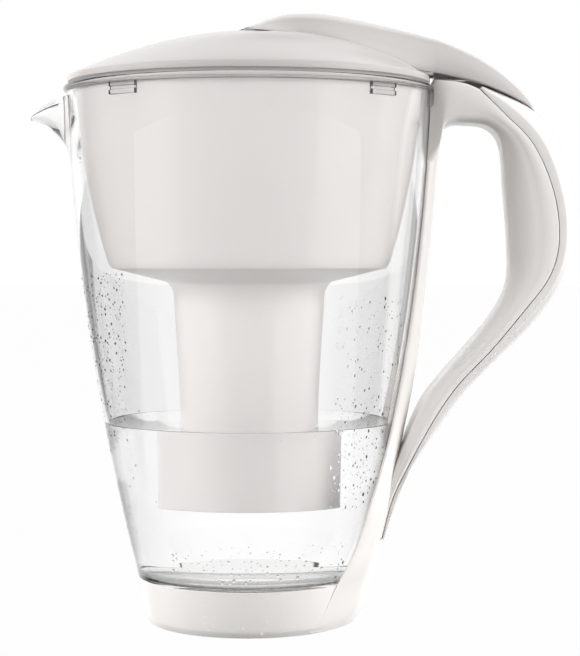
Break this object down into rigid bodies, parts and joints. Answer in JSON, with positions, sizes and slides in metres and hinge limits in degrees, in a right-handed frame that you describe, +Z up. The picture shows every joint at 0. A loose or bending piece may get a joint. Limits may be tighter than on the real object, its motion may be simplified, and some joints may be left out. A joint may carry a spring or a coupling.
{
  "type": "water filter jug",
  "caption": "Conical clear jug with spout, white base and curved handle, lift-out filter hopper and domed lid with a hinged flap over the handle.",
  "frame": {"origin": "on the jug's axis, in the plane of the foot ring that rests on the table", "axes": "+Z up along the jug's axis, spout towards -X, handle towards +X"},
  "size_m": [0.2464, 0.1672, 0.275],
  "materials": {
    "clear_san": "clear, polished",
    "white_abs": "moulded, satin gloss",
    "white_abs_crown": "moulded, gloss",
    "white_abs_lid": "moulded, gloss",
    "foot_rubber": "matt",
    "milky_pp": "milky, satin",
    "cartridge_pp": "moulded, satin",
    "silicone": "satin",
    "filter_mesh": "woven",
    "filter_granules": "granular",
    "pin_steel": "ground"
  },
  "bodies": {
    "jug_body": {"jug": "clear_san", "handle_frame": "white_abs", "handle_spine": "white_abs_crown", "foot_ring": "foot_rubber"},
    "hopper_body": {"hopper": "milky_pp"},
    "cartridge_body": {"cartridge_shell": "cartridge_pp", "cartridge_cap": "cartridge_pp", "cartridge_seal": "silicone", "inlet_mesh": "filter_mesh", "outlet_mesh": "filter_mesh", "filter_media": "filter_granules"},
    "lid_body": {"lid_shell": "white_abs_lid", "flap_hinge_pin": "pin_steel"},
    "flap_body": {"flap_shell": "white_abs_lid", "flap_liner": "white_abs_lid"}
  },
  "joints": [
    {"name": "hopper_lift", "type": "slide", "parent": "jug_body", "child": "hopper_body", "axis": [0, 0, 1], "range_m": [0, 0.19]},
    {"name": "cartridge_lift", "type": "slide", "parent": "hopper_body", "child": "cartridge_body", "axis": [0, 0, 1], "range_m": [0, 0.07]},
    {"name": "lid_lift", "type": "slide", "parent": "hopper_body", "child": "lid_body", "axis": [0, 0, 1], "range_m": [0, 0.12]},
    {"name": "flap_hinge", "type": "hinge", "parent": "lid_body", "child": "flap_body", "pos_m": [0, 0, 0.265], "axis": [0, -1, 0], "range_deg": [0, 95]}
  ]
}
